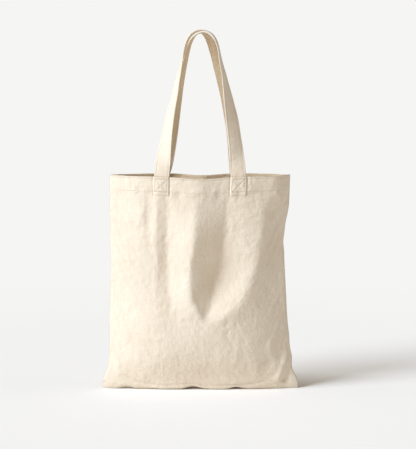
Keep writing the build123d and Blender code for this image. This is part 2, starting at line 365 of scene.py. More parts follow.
def relax(front, back):
    """Lets the cloth settle in Blender's cloth solver, held softly to its start shape. Returns both panels."""
    rows, cols = front.shape[:2]
    front_index = np.arange(rows * cols).reshape(rows, cols)
    back_index = np.full((rows, cols), -1)
    back_index[:, 0], back_index[:, -1], back_index[0] = front_index[:, 0], front_index[:, -1], front_index[0]
    free = back_index < 0
    back_index[free] = rows * cols + np.arange(free.sum())
    total = rows * cols + int(free.sum())

    def gather(front_grid, back_grid):
        joined = np.zeros((total, 3))
        joined[back_index] = back_grid
        joined[front_index] = front_grid
        return joined

    start, flat = gather(front, back), gather(flat_pattern(front), flat_pattern(back))
    faces = np.concatenate([grid_faces(front_index), grid_faces(back_index, True)])
    mesh = bpy.data.meshes.new("relaxing")
    mesh.from_pydata((start * MM).tolist(), [], faces.tolist())
    obj = add_object("relaxing", mesh)
    obj.shape_key_add(name="start", from_mix=False)
    rest = obj.shape_key_add(name="flat", from_mix=False)
    rest.data.foreach_set("co", (flat * MM).astype(np.float32).ravel())

    held = np.full((rows, cols), HOLD)
    held[-HEM_HELD:] = HEM_HOLD
    held[-END_HELD:, np.abs(np.abs(even_places(cols)) - STRAP_X) < STRAP_WIDTH / 2] = END_HOLD
    held[:, [0, -1]] = 1.0
    held[:FOOT_HELD] = 1.0
    weights = gather(held[..., None], held[..., None])[:, 0]
    group = obj.vertex_groups.new(name="held")
    for value in np.unique(weights):
        group.add(np.nonzero(weights == value)[0].tolist(), float(value), "REPLACE")
    cloth = obj.modifiers.new("cloth", "CLOTH")
    settings = cloth.settings
    for key, value in SOLVER.items():
        setattr(settings, key, value)
    settings.vertex_group_mass = "held"
    settings.rest_shape_key = rest
    cloth.collision_settings.use_collision = False
    settings.effector_weights.gravity = GRAVITY_SHARE
    scene = bpy.context.scene
    scene.frame_start, scene.frame_end = 1, FRAMES
    cloth.point_cache.frame_start, cloth.point_cache.frame_end = 1, FRAMES
    for number in range(1, FRAMES + 1):
        scene.frame_set(number)
    evaluated = obj.evaluated_get(bpy.context.evaluated_depsgraph_get())
    done = np.zeros(total * 3, np.float32)
    evaluated.data.vertices.foreach_get("co", done)
    scene.frame_set(1)
    bpy.data.objects.remove(obj)
    bpy.data.meshes.remove(mesh)
    done = done.reshape(-1, 3).astype(float) / MM
    return done[front_index], done[back_index]


front = panel_start(FRONT_FOLDS, FRONT_CREASES)
back = panel_start(BACK_FOLDS, BACK_CREASES) * np.array([1, -1, 1])
back[:, [0, -1]] = front[:, [0, -1]]
back[0] = front[0]
front, back = relax(front, back)


# ---- Meshes ----
def make_piece(name, points, faces, places, material):
    """A smooth-shaded mesh. places are the points' places on the flat cloth, for the material."""
    mesh = bpy.data.meshes.new(name)
    mesh.from_pydata((points.reshape(-1, 3) * MM).tolist(), [], faces)
    mesh.polygons.foreach_set("use_smooth", [True] * len(mesh.polygons))
    laid = mesh.attributes.new("laid_flat", "FLOAT_VECTOR", "POINT")
    laid.data.foreach_set("vector", (places * MM).astype(np.float32).ravel())
    mesh.materials.append(material)
    return add_object(name, mesh)


def loft(name, rings, places, material, flip):
    """A closed tube through rings of points."""
    index = np.arange(len(rings) * rings.shape[1]).reshape(rings.shape[:2])
    faces = grid_faces(np.concatenate([index, index[:, :1]], axis=1), flip).tolist()
    caps = [index[0, ::-1].tolist(), index[-1].tolist()]
    return make_piece(name, rings, faces + ([cap[::-1] for cap in caps] if flip else caps), places, material)


def finer(grid, times, axis):
    """Catmull-Rom points between those of a grid, along one axis."""
    grid = np.moveaxis(grid, axis, 0)
    wide = np.concatenate([2 * grid[:1] - grid[1:2], grid, 2 * grid[-1:] - grid[-2:-1]])
    a, b, c, d = wide[:-3], wide[1:-2], wide[2:-1], wide[3:]
    steps = []
    for t in np.arange(times) / times:
        steps.append(b + 0.5 * t * (c - a + t * (2 * a - 5 * b + 4 * c - d + t * (3 * b - a - 3 * c + d))))
    filled = np.stack(steps, 1).reshape(-1, *grid.shape[1:])
    return np.moveaxis(np.concatenate([filled, grid[-1:]]), 0, axis)


STITCH = 3.2  # from one stitch to the next
STITCH_SHARE = 0.78  # share of that which lies on top of the cloth
STITCH_ALONG = np.array([0.0, 0.16, 0.5, 0.84, 1.0])  # a stitch's points, and their heights
STITCH_LIFT = np.array([-0.35, 0.0, 0.08, 0.0, -0.35])
THREAD_RADIUS, THREAD_SIDES, THREAD_END = 0.3, 5, 0.35  # last, the share of the radius at a thread's ends
THREAD_SHIFT = 7.3  # each thread's material starts this much further on


def tubes(name, paths, sideways):
    """Short threads, each a closed tube: paths is threads x points x xyz."""
    count, steps = paths.shape[:2]
    along = unit(np.gradient(paths, axis=1))
    side = unit(sideways[:, None] - along * (sideways[:, None] * along).sum(-1, keepdims=True))
    up = np.cross(side, along)
    width = np.full(steps, THREAD_RADIUS)
    width[[0, -1]] *= THREAD_END
    angles = np.arange(THREAD_SIDES) * 2 * math.pi / THREAD_SIDES
    ring = side[:, :, None] * np.cos(angles)[:, None] + up[:, :, None] * np.sin(angles)[:, None]
    points = paths[:, :, None] + ring * width[:, None, None]
    index = np.arange(count * steps * THREAD_SIDES).reshape(count, steps, THREAD_SIDES)
    nxt = np.roll(index, -1, axis=2)
    quads = np.stack([index[:, :-1], nxt[:, :-1], nxt[:, 1:], index[:, 1:]], -1).reshape(-1, 4)
    caps = np.concatenate([index[:, 0, ::-1], index[:, -1]])
    run = np.cumsum(np.linalg.norm(np.diff(paths, axis=1, prepend=paths[:, :1]), axis=-1), axis=1)
    places = np.zeros(points.shape)
    places[..., 0] = angles * THREAD_RADIUS
    places[..., 1] = run[..., None] + (np.arange(count) * THREAD_SHIFT)[:, None, None]
    return make_piece(name, points, quads.tolist() + caps.tolist(), places, THREAD)


def stitch_paths(starts, ends, normals):
    """Threads from each start to its end, between two needle holes."""
    paths = starts[:, None] + (ends - starts)[:, None] * STITCH_ALONG[:, None]
    return paths + normals[:, None] * STITCH_LIFT[:, None]


# ---- Materials ----
# The third coordinate also marks the inner faces, which the material paints with shade.
INSIDE = -20.0  # third coordinate of an inner face's places, which the material tells it by
# Painted shade: the colour that the inner faces are multiplied by.
PAINTED_INNER_SHADE = (0.91, 0.84, 0.72, 1)
FLECK = (0.42, 0.30, 0.17, 1)
# The brown that the cloth's colour turns towards at the bottom edge.
BOTTOM_BROWN = (0.47, 0.39, 0.29, 1)
SOFT_FINISH = {"Specular IOR Level": 0.22, "Sheen Weight": 0.22, "Sheen Roughness": 0.55,
               "Sheen Tint": (1.0, 0.94, 0.84, 1)}
# The darker thread colour is partly the thread's own tone and partly painted shade of the pinched stitch rows.
THREAD_DARK_AND_SHADE, THREAD_PALE = (0.50, 0.40, 0.27, 1), (0.72, 0.61, 0.46, 1)
WEAVE_PITCH = 0.00085
FACES_APART = 900.0  # stretches the noise so that a cloth's two faces differ


def node_maker(owner):
    """Functions that add nodes to a material or world."""
    owner.use_nodes = True
    tree = owner.node_tree

    def put(socket, value):
        if isinstance(value, bpy.types.NodeSocket):
            tree.links.new(value, socket)
        else:
            socket.default_value = value

    def add(kind, inputs=(), **settings):
        node = tree.nodes.new("ShaderNode" + kind)
        for key, value in settings.items():
            setattr(node, key, value)
        for key, value in dict(inputs).items():
            put(node.inputs[key], value)
        return node

    def maths(operation, a, b=0.0, c=0.0):
        return add("Math", {0: a, 1: b, 2: c}, operation=operation).outputs[0]

    def times(a, b):
        return maths("MULTIPLY", a, b)

    def fit(value, low, high, to_low, to_high, **settings):
        """Takes low to to_low and high to to_high, and holds what lies beyond them."""
        return add("MapRange", {0: value, 1: low, 2: high, 3: to_low, 4: to_high}, **settings).outputs[0]

    def mix(share, a, b, **settings):
        return add("Mix", {0: share, 6: a, 7: b}, data_type="RGBA", **settings).outputs[2]

    return tree, put, add, maths, times, fit, mix


def cloth_material(name, colour, shade):
    """Plain-weave cotton: crossing threads, thick ones, seed flecks, faint stains and a soft nap. It also has
    painted shade between the threads and on the inner faces, and a colour that turns darker towards the bottom.
    """
    material = bpy.data.materials.new(name)
    tree, put, add, maths, times, fit, mix = node_maker(material)
    shader = tree.nodes["Principled BSDF"]
    place = add("Attribute", attribute_name="laid_flat").outputs["Vector"]

    def streaks(across, along, seed, detail=2.0):
        """Noise with that many features a metre across and along the cloth."""
        moved = add("Mapping", {0: place, 1: (seed, seed * 0.7, 0.0),
                                3: (across, along, FACES_APART)}).outputs[0]
        return add("TexNoise", {"Vector": moved, "Scale": 1.0, "Detail": detail, "Roughness": 0.6}).outputs[0]

    parts = add("SeparateXYZ", {0: place}).outputs
    turn_x = times(parts[0], math.pi / WEAVE_PITCH)
    turn_y = times(parts[1], math.pi / WEAVE_PITCH)
    crossing = times(maths("SINE", turn_x), maths("SINE", turn_y))
    weft = times(maths("ABSOLUTE", maths("SINE", turn_y)), maths("GREATER_THAN", crossing, 0.0))
    warp = times(maths("ABSOLUTE", maths("SINE", turn_x)), maths("LESS_THAN", crossing, 0.0))
    weave = maths("ADD", weft, warp)
    slub_down = streaks(520.0, 22.0, 3.1)
    slub_over = streaks(24.0, 560.0, 8.4)
    slubs = maths("MULTIPLY_ADD", slub_down, 0.62, times(slub_over, 0.38))
    blotch = streaks(13.0, 10.0, 1.7, 4.0)
    crumple = streaks(95.0, 80.0, 5.2, 3.0)
    flecks = fit(streaks(430.0, 300.0, 12.6, 1.0), 0.73, 0.80, 0.0, 0.55)

    tone = maths("MULTIPLY_ADD", slubs, 0.34, times(blotch, 0.30))
    # Painted shade: the weave term makes each thread darker at its edges, where the gaps between threads are,
    # and lighter at its crown.
    tone = maths("MULTIPLY_ADD", weave, 0.10, tone)
    tone = fit(tone, 0.22, 0.52, 0.0, 1.0)
    plain = mix(tone, (*shade, 1), (*colour, 1))
    seeded = mix(flecks, plain, FLECK)
    height = add("SeparateXYZ", {0: add("TexCoord").outputs["Object"]}).outputs[2]
    # Darker towards the bottom: over the lowest 20 mm the colour is mixed with a brown, up to 16% at the floor.
    darker_bottom = mix(fit(height, 0.0, 0.02, 0.16, 0.0), seeded, BOTTOM_BROWN)
    # Painted shade: the inner faces' colour is multiplied browner. It stands in for the warmer, dimmer light
    # that reaches them through the cloth and off it.
    inner = fit(parts[2], 0.0, INSIDE * MM, 0.0, 1.0)
    put(shader.inputs["Base Color"], mix(inner, darker_bottom, PAINTED_INNER_SHADE, blend_type="MULTIPLY"))
    put(shader.inputs["Roughness"], fit(tone, 0.0, 1.0, 0.97, 0.84))
    for key, value in SOFT_FINISH.items():
        shader.inputs[key].default_value = value

    relief = maths("MULTIPLY_ADD", slubs, 0.5, times(weave, 0.22))
    fine = add("Bump", {"Strength": 0.55, "Distance": 0.0006, "Height": relief}).outputs[0]
    both = add("Bump", {"Strength": 0.6, "Distance": 0.003, "Height": crumple, "Normal": fine}).outputs[0]
    put(shader.inputs["Normal"], both)
    return material


def thread_material():
    """Cotton sewing thread: two plies twisted together, with painted shade in the groove between them."""
    material = bpy.data.materials.new("thread")
    tree, put, add, maths, times, fit, mix = node_maker(material)
    shader = tree.nodes["Principled BSDF"]
    place = add("Attribute", attribute_name="laid_flat").outputs["Vector"]
    parts = add("SeparateXYZ", {0: place}).outputs
    twist = maths("SINE", maths("MULTIPLY_ADD", parts[1], 5200.0, times(parts[0], 6000.0)))
    uneven = add("TexNoise", {"Vector": place, "Scale": 500.0, "Detail": 2.0}).outputs[0]
    # Painted shade: along the twist the colour turns darker in the groove between the plies. The noise varies
    # it at random.
    put(shader.inputs["Base Color"], mix(maths("MULTIPLY_ADD", twist, 0.25, uneven), THREAD_DARK_AND_SHADE, THREAD_PALE))
    put(shader.inputs["Roughness"], fit(uneven, 0.3, 0.7, 0.6, 0.85))
    put(shader.inputs["Normal"], add("Bump", {"Strength": 0.5, "Distance": 0.0001, "Height": twist}).outputs[0])
    shader.inputs["Sheen Weight"].default_value = 0.2
    return material


CLOTH = cloth_material("canvas", (0.86, 0.757, 0.62), (0.72, 0.597, 0.445))
STRAP_CLOTH = cloth_material("strap_canvas", (0.865, 0.762, 0.625), (0.73, 0.607, 0.455))
THREAD = thread_material()


# ---- Panels of cloth ----
def column_places():
    """Places of the finished cloth's columns, closer together at the strap ends."""
    spacing = 0.5
    fine = np.arange(-FLAT_WIDTH / 2, FLAT_WIDTH / 2 + spacing, spacing)
    off = np.abs(np.abs(fine) - STRAP_X) - STRAP_WIDTH / 2 - PATCH_EDGE
    return spread(fine, PATCH_COLUMN + (PLAIN_COLUMN - PATCH_COLUMN) * ease(off / PATCH_FADE), spacing)


COLUMN_U = column_places()


def resample(grid):
    """A finer grid with rows placed by their distance below the rim, and its distances from foot and rim."""
    grid = finer(finer(grid, FINER, 0), FINER, 1)
    even = even_places(grid.shape[1])
    cols = np.interp(COLUMN_U, even, np.arange(len(even)))
    i = np.minimum(cols.astype(int), len(even) - 2)
    share = (cols - i)[None, :, None]
    grid = grid[:, i] * (1 - share) + grid[:, i + 1] * share
    run = run_along(grid)
    length = run[-1]
    body = np.linspace(0, 1, int((length.mean() - HEM_ROWS[-1]) / BODY_STEP), endpoint=False)
    places = np.concatenate([body[:, None] * (length - HEM_ROWS[-1]), length - HEM_ROWS[::-1, None]])
    fine = np.stack([read_line(places[:, i], run[:, i], grid[:, i]) for i in range(grid.shape[1])], 1)
    return fine, places, length - places


def outward(grid, side):
    """Unit normals of a panel's grid, pointing out of the bag. side is -1 for the front panel."""
    return unit(np.cross(np.gradient(grid, axis=1), np.gradient(grid, axis=0))) * -side


# Small creases of the whole thickness, as (height, size).
CRUMPLES = [(0.66, 38), (0.38, 19), (0.22, 9)]
# Puckers by the side seams, bottom seam and hem, as (height, size across, size up, reach).
SIDE_PUCKER, FOOT_PUCKER, HEM_PUCKER = (1.3, 40, 11, 11.0), (0.8, 13, 40, 9.0), (1.5, 13, 60, 9.0)
SIDE_STILL, FOOT_BARE, FOOT_STILL = 5.0, 2, 12.0  # creases run out this close to the seams
HEM_PROUD, HEM_EDGE, HEM_STEP = 0.55, 1.2, 2.4
PINCH, PINCH_CHANGE, PINCH_SIZE, PINCH_WIDTH = 0.55, 0.25, (8, 20), 1.15  # by the hem's stitches
PATCH_PROUD, PATCH_RIM, PATCH_STEP, PATCH_FOOT = 1.4, 0.9, 2.2, 2.6  # raised cloth over a strap end
GROOVE, GROOVE_OFF, GROOVE_WIDTH, GROOVE_END = 1.5, 1.6, 1.3, 5.0  # beside it
BOX_PINCH, BOX_PINCH_WIDTH = 0.8, 1.1
RELIEF_FADE = 4.0
BEYOND = 50  # added to the distance from a row of stitches past its ends
RIM_ARC = np.radians([36, 72, 108, 144])  # points round the rim's fold
LEAST_DEPTH = 0.02  # from the middle plane to a panel's inner face at the seams
ROW_INSET = 5  # the hem's rows stop this short of the seams
STRAP_GAP = 0.1  # between the hem's inner face and a strap end
BOX_STROKES = np.array([((-1, -1), (1, -1)), ((1, -1), (1, 1)), ((1, 1), (-1, 1)), ((-1, 1), (-1, -1)),
                        ((-1, -1), (1, 1)), ((1, -1), (-1, 1))])


class Panel:
    """A panel's finished surfaces, and the normals that what is sewn to it is placed by."""

    def __init__(self, grid, side, seed):
        self.side = side
        self.grid, self.run, self.down = resample(grid)
        self.ends = [np.interp(x, self.grid[-1, :, 0], COLUMN_U) for x in (-STRAP_X, STRAP_X)]
        self.u = np.broadcast_to(COLUMN_U, self.down.shape)
        self.edge = FLAT_WIDTH / 2 - np.abs(self.u)
        self.crumple(seed)
        self.normals = outward(self.grid, side)
        self.outer = self.grid + self.normals * self.relief(seed)[..., None]
        self.outer[..., 2] = np.maximum(self.outer[..., 2], 0.0)
        self.sewn_depth = np.where(self.down < HEM_DEPTH, HEM_THICK, CANVAS)

    def crumple(self, seed):
        """Small creases of the whole thickness, more along the seams and under the strap ends."""
        u, v = self.u, self.run
        total = sum(height * ridges(u, v, size, seed + k) for k, (height, size) in enumerate(CRUMPLES))
        off = [self.edge, v, (self.down - HEM_DEPTH) ** 2 / HEM_PUCKER[3]]
        for k, (height, across, up, reach) in enumerate((SIDE_PUCKER, FOOT_PUCKER, HEM_PUCKER)):
            total = total + height * noise(u, v, across, up, seed + 3 + k) * np.exp(-off[k] / reach)
        free = ease(self.edge / SIDE_STILL) * ease((v - FOOT_BARE) / FOOT_STILL)
        self.grid = self.grid + outward(self.grid, self.side) * (total * free)[..., None]

    def relief(self, seed):
        """How far the outer face stands off: the folded hem, its pinched rows and the strap ends behind it."""
        u, down, half = self.u, self.down, BOX_SIZE / 2
        proud = HEM_PROUD * ease((HEM_DEPTH + HEM_EDGE - down) / HEM_STEP)
        depth = PINCH + PINCH_CHANGE * noise(u, down, *PINCH_SIZE, seed + 7)
        for row in (STITCH_IN, HEM_DEPTH - STITCH_IN):
            proud = proud - depth * np.exp(-((down - row) / PINCH_WIDTH) ** 2)
        for end in self.ends:
            across = np.abs(u - end)
            within = ease((STRAP_WIDTH / 2 + PATCH_RIM - across) / PATCH_STEP)
            proud = proud + PATCH_PROUD * within * ease((END_DEPTH + HEM_EDGE - down) / PATCH_FOOT)
            groove = np.exp(-((across - STRAP_WIDTH / 2 - GROOVE_OFF) / GROOVE_WIDTH) ** 2)
            proud = proud - GROOVE * groove * ease((END_DEPTH + GROOVE_END - down) / GROOVE_END)
            below = np.abs(down - BOX_DOWN)
            line = np.minimum(np.abs(across - half) + BEYOND * (below > half),
                              np.abs(below - half) + BEYOND * (across > half))
            cross = np.abs(across - below) / math.sqrt(2)
            line = np.minimum(line, cross + BEYOND * (across > half))
            proud = proud - BOX_PINCH * np.exp(-((line / BOX_PINCH_WIDTH) ** 2))
        return proud * ease(self.edge / RELIEF_FADE)

    def at(self, grid, u, down):
        """Reads one of the panel's grids at places near the rim."""
        rows = len(self.grid) - 1 - np.interp(down, HEM_ROWS, np.arange(len(HEM_ROWS)))
        cols = np.interp(u, COLUMN_U, np.arange(len(COLUMN_U)))
        j = np.clip(np.floor(rows).astype(int), 0, len(self.grid) - 2)
        i = np.clip(np.floor(cols).astype(int), 0, len(COLUMN_U) - 2)
        return between(grid, j, i, (rows - j)[..., None], (cols - i)[..., None])

    def shell(self, name):
        """The cloth as a closed shell, three layers thick in the hem."""
        inner = self.grid - self.normals * self.sewn_depth[..., None]
        inner[..., 1] = self.side * np.maximum(self.side * inner[..., 1], LEAST_DEPTH)
        inner[..., 2] = np.maximum(inner[..., 2], CANVAS / 2)
        middle, half = (self.outer[-1] + inner[-1]) / 2, (self.outer[-1] - inner[-1]) / 2
        rise = np.linalg.norm(half, axis=-1, keepdims=True) * np.array([0, 0, 1.0])
        arc = [middle + half * math.cos(a) + rise * math.sin(a) for a in RIM_ARC]
        layers = np.concatenate([self.outer, arc, inner[::-1]])
        rows, cols = layers.shape[:2]
        count, turns = len(self.outer), len(RIM_ARC)
        down = np.concatenate([self.down, np.zeros((turns, cols)), -self.down[::-1]])
        # Inner faces are tagged here, so that the material gives them its painted shade.
        inside = np.concatenate([np.zeros(count), np.linspace(0, INSIDE, turns + 2)[1:-1],
                                 np.full(count, INSIDE)])
        places = np.stack([np.broadcast_to(COLUMN_U, down.shape), down,
                           np.broadcast_to(inside[:, None], down.shape)], -1)
        index = np.arange(rows * cols).reshape(rows, cols)
        faces = grid_faces(np.concatenate([index, index[:1]]), self.side > 0).tolist()
        for i, turned in ((0, self.side > 0), (cols - 1, self.side < 0)):
            ends = [[index[j, i], index[j + 1, i], index[rows - 2 - j, i], index[rows - 1 - j, i]]
                    for j in range(count - 1)] + [index[count - 1:count + turns + 1, i]]
            faces += [[int(k) for k in (face[::-1] if turned else face)] for face in ends]
        return make_piece(name, layers, faces, places, CLOTH)

    def stitches(self, u0, down0, u1, down1, through_strap):
        """Threads between places on the flat cloth, on the outer and the innermost face."""
        normals = self.at(self.normals, (u0 + u1) / 2, (down0 + down1) / 2)
        outside = stitch_paths(self.at(self.outer, u0, down0), self.at(self.outer, u1, down1), normals)
        depth = HEM_THICK + (STRAP_THICK + STRAP_GAP if through_strap else 0)
        back0 = self.at(self.grid, u0, down0) - normals * depth
        back1 = self.at(self.grid, u1, down1) - normals * depth
        return [outside, stitch_paths(back0, back1, -normals)]

    def hem_stitches(self, name):
        """Both rows of the hem, on the outside and the inside."""
        places = np.arange(-FLAT_WIDTH / 2 + ROW_INSET, FLAT_WIDTH / 2 - ROW_INSET, STITCH)
        paths = []
        for row in (STITCH_IN, HEM_DEPTH - STITCH_IN):
            down = np.full(len(places), row)
            paths += self.stitches(places, down, places + STITCH * STITCH_SHARE, down, False)
        paths = np.concatenate(paths)
        return tubes(name, paths, np.broadcast_to([0.0, 0, 1], (len(paths), 3)))

    def box_stitches(self, name):
        """The square and both diagonals on each strap end."""
        paths = []
        for end in self.ends:
            for a, b in BOX_STROKES * (BOX_SIZE / 2):
                count = round(np.hypot(*(b - a)) / STITCH)
                t = np.arange(count)[:, None] / count
                p, q = a + (b - a) * t, a + (b - a) * (t + STITCH_SHARE / count)
                paths += self.stitches(end + p[:, 0], BOX_DOWN + p[:, 1],
                                       end + q[:, 0], BOX_DOWN + q[:, 1], True)
        paths = np.concatenate(paths)
        return tubes(name, paths, np.broadcast_to([0.3, 0, 1.0], (len(paths), 3)))


front_panel = Panel(front, -1, 100)
back_panel = Panel(back, 1, 200)
pieces = {}
for panel, word in ((front_panel, "front"), (back_panel, "back")):
    cloth = panel.shell(f"{word}_cloth")
    hem = panel.hem_stitches(f"{word}_hem_stitches")
    boxes = panel.box_stitches(f"{word}_box_stitches")
    for piece in (cloth, hem, boxes):
        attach(piece, "bag")
    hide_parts(f"{word}_panel", f"{word}_hem_facing")
    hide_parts(f"{word}_hem_stitching")
    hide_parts(f"{word}_left_box_stitching", f"{word}_right_box_stitching")
    pieces[word] = cloth, hem, boxes


# ---- Seam allowances, each two layers turned into the bag with overlock thread round the cut edge ----
SEAM_HALF = CANVAS
# Half of a seam's section, as (distance in from the seam, off its middle).
SEAM_FACE = [(0.5, SEAM_HALF), (3.5, SEAM_HALF + 0.05), (6.5, SEAM_HALF + 0.1), (9.3, SEAM_HALF),
             (SEAM_WIDTH, SEAM_HALF * 0.5)]
SEAM_SWAYS = [(1.6, 38), (0.5, 11)]  # the free edge's lean, as (amount, wave length)
SEAM_FOOT, BOTTOM_INSET = 13.0, 14.0  # where the side strips start, and how far in the bottom one does
LEAST_RISE = 0.2  # between two rows of a side strip
OVERLOCK_PITCH, OVERLOCK_WRAP, OVERLOCK_INSET = 2.3, 3.2, 2
LOOP_HALF = SEAM_HALF + 0.25
# A loop of overlock thread, as (distance in from the seam, off its middle, 1 if a row further along).
LOOP = [(SEAM_WIDTH - OVERLOCK_WRAP, LOOP_HALF, 0), (SEAM_WIDTH - 1.2, LOOP_HALF + 0.1, 0),
        (SEAM_WIDTH + 0.2, LOOP_HALF * 0.6, 0), (SEAM_WIDTH + 0.3, -LOOP_HALF * 0.6, 1),
        (SEAM_WIDTH - 1.2, -LOOP_HALF - 0.1, 1), (SEAM_WIDTH - OVERLOCK_WRAP, -LOOP_HALF, 1)]


def seam_pieces(word, line, inward, seed):
    """A strip that starts on a seam's line and stands inward, and the loops of thread on its free edge."""
    steps = len(line)
    run = run_along(line)
    sway = sum(amount * line_noise(run, length, seed + k) for k, (amount, length) in enumerate(SEAM_SWAYS))

    def place(k, across, off):
        """Points at steps k, that far in from the seam's line and off its middle plane."""
        point = line[k] + inward * across
        point[..., 1] += sway[k] * (across / SEAM_WIDTH) ** 1.5 + off
        return point

    section = SEAM_FACE + [(w, -off) for w, off in SEAM_FACE[::-1]]
    all_steps = np.arange(steps)
    rings = np.stack([place(all_steps, w, off) for w, off in section], 1)
    places = np.stack([np.stack([np.full(steps, w), run, np.full(steps, off)], -1) for w, off in section], 1)
    strip = loft(f"{word}_seam", rings, places, CLOTH, False)

    centres = np.arange(OVERLOCK_INSET, run[-1] - OVERLOCK_INSET, OVERLOCK_PITCH)
    near = np.clip(np.interp(centres, run, all_steps).round().astype(int), 0, steps - 1)
    after = np.clip(near + 1, 0, steps - 1)
    loops = np.stack([place(after if later else near, w, off) for w, off, later in LOOP], 1)
    along = unit(line[after] - line[near] + 1e-6)
    return strip, tubes(f"{word}_overlock", loops, along)


for word, column, inward in (("left", 0, (1.0, 0, 0)), ("right", -1, (-1.0, 0, 0))):
    line = front_panel.grid[:, column] * np.array([1, 0, 1])
    line = line[line[:, 2] > SEAM_FOOT]
    line = line[np.concatenate([[True], np.diff(line[:, 2]) > LEAST_RISE])]
    pieces[word] = seam_pieces(word, line, np.array(inward), 300 + column)
foot = front_panel.grid[0] * np.array([1, 0, 1]) + np.array([0, 0, CANVAS * 0.5])
foot = foot[np.abs(foot[:, 0]) < HALF_FOOT - BOTTOM_INSET]
pieces["bottom"] = seam_pieces("bottom", foot, np.array((0, 0, 1.0)), 320)
for word in ("left", "right", "bottom"):
    strip, thread = pieces[word]
    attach(strip, "bag")
    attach(thread, "bag")
    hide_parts(f"{word}_seam_allowance")
    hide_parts(f"{word}_overlock_thread")


# ---- Straps ----
FRONT_LEAN, BACK_LEAN = 4.0, 1.5  # each arch's top stands this far to the right of its feet
APEX_DEPTH = 16.4  # the straps' middles at the top, from the bag's middle plane
APEX_YAW = 8.0  # turn of the arches' tops, in degrees
EDGE_ROW = 11.5  # a strap's middle to a row of its edge stitches
# Half of each free strap's middle line, as (distance from the arch's axis, height above the rim).
FRONT_LEG = [(73.9, 0), (68.0, 55), (59.3, 112), (52.6, 145), (44.2, 190), (36.0, 223), (31.9, 245.6),
             (26.9, 262.6), (17.5, 275.0), (0, 281)]
BACK_TOP = [(22.5, 251), (16.5, 264), (9.0, 273), (0, 278)]
BACK_LEFT = [(74.0, 0), (68.5, 22), (62.0, 55), (56.0, 89), (44.5, 157), (35.5, 193), (27.0, 234)] + BACK_TOP
BACK_RIGHT = [(74.0, 0), (72.5, 22), (68.5, 55), (63.0, 89), (49.5, 150), (38.0, 193), (27.5, 234)] + BACK_TOP
# Each leg's turn from flat-on to edge-on, in degrees, as (height above the rim, left leg, right leg).
FRONT_TURN = [(0, 0, 0), (25, 14, 10), (55, 37, 28), (112, 55, 40), (145, 60, 56), (190, 70, 78), (235, 88, 90),
              (281, 90, 90)]
BACK_TURN = [(0, 0, 0), (25, 9, 10), (55, 19, 28), (89, 29, 42), (157, 50, 58), (193, 66, 62), (235, 70, 64),
             (262, 72, 68), (281, 88, 88)]
ROW_STEP, RIM_ROW_STEP = 1.8, 0.7  # spacing of a strap's rows, and of those by the rim, where it folds
RIM_ROWS_TO, RIM_ROWS_FADE = 14.0, 8.0
# Half of a strap's face, from its edge to its middle, as (across, height off the plain face).
SECTION = [(-13.9, 0.0), (-12.7, -0.1), (-11.5, -0.42), (-10.3, -0.08), (-7.5, 0.06), (-4.0, 0.12), (0.0, 0.15)]
SHOULDER, SHOULDER_SHARE = 14.7, 0.8  # the rounded edge's corner, and its height as a share of the half
FOOT_PROBE = 12.0  # the direction across a strap at the rim is read this far from its middle
FOOT_REACH, PATH_BLUR, TURN_BLUR, TURN_SAMPLES = 110.0, 7.0, 9.0, 400
FLAT_REACH, MEET_REACH, WAVE_FADE = 30.0, 26.0, 40.0  # from the rim: lies flat, meets the sewn end, waves grow
CAMBERS = [(0.9, 70), (0.25, 19)]  # of the middle, as (amount, wave length)
WAVE, WAVE_ALONG, WAVE_ACROSS = 0.30, 16, 14
WIDTH_CHANGE, WIDTH_WAVE, CAMBER_HALF = 0.012, 24, 15.0
SEWN_ROWS, SEWN_STEP = 22, 1.5
EDGE_START, EDGE_STOP = 1.5, 3.5  # from the rim to the edge stitches


def row_places(length):
    """Places of a free strap's rows, closer together by the rim."""
    spacing = 0.25
    fine = np.arange(0.0, length + spacing, spacing)
    away = ease((np.minimum(fine, length - fine) - RIM_ROWS_TO) / RIM_ROWS_FADE)
    return spread(np.minimum(fine, length), RIM_ROW_STEP + (ROW_STEP - RIM_ROW_STEP) * away, spacing)


def strap_section():
    """Points round a strap's section, as (across, off its middle): outer face, edge, inner face, edge."""
    half = STRAP_THICK / 2
    face = [(w, t + half) for w, t in SECTION + [(-w, t) for w, t in SECTION[-2::-1]]]
    edge = [(SHOULDER, SHOULDER_SHARE * half), (STRAP_WIDTH / 2, 0.0),
            (SHOULDER, -SHOULDER_SHARE * half)]
    return np.array(face + edge + [(w, -t) for w, t in face[::-1]] + [(-w, -t) for w, t in edge])


def smooth_path(points, radius):
    """Points about a millimetre apart along a rounded-off polyline."""
    run = run_along(points)
    dense = read_line(np.linspace(0, run[-1], int(run[-1]) + 1), run, points)
    reach = int(3 * radius)
    kernel = np.exp(-0.5 * (np.arange(-reach, reach + 1) / radius) ** 2)
    wide = np.pad(dense, ((reach, reach), (0, 0)), mode="reflect", reflect_type="odd")
    kernel /= kernel.sum()
    return np.stack([np.convolve(wide[:, axis], kernel, mode="valid") for axis in range(3)], -1)


def strap_feet(panel, depth):
    """Where each end of a strap crosses the rim, and the direction across it there."""
    feet = []
    for end, flip in zip(panel.ends, (1, -1)):
        u = end + np.array([-FOOT_PROBE, 0, FOOT_PROBE]) * flip
        spots = panel.at(panel.grid, u, np.zeros(3)) - panel.at(panel.normals, u, np.zeros(3)) * depth
        feet.append((spots[1], unit(spots[2] - spots[0])))
    return feet


def strap_path(feet, halves, side, lean):
    """The free strap's middle line, from foot to foot."""
    rise = halves[0][-1][1]
    legs = []
    for (foot, _), sign, half_line in zip(feet, (-1, 1), halves):
        leg = []
        for half, h in half_line:
            share = h / rise
            fade = 1 - ease(h / FOOT_REACH)
            x = sign * half + lean * share + (foot[0] - sign * half_line[0][0]) * fade
            leg.append((x, foot[1] + (side * APEX_DEPTH - foot[1]) * share, foot[2] + h))
        legs.append(leg)
    return smooth_path(np.array(legs[0] + legs[1][-2::-1]), PATH_BLUR)


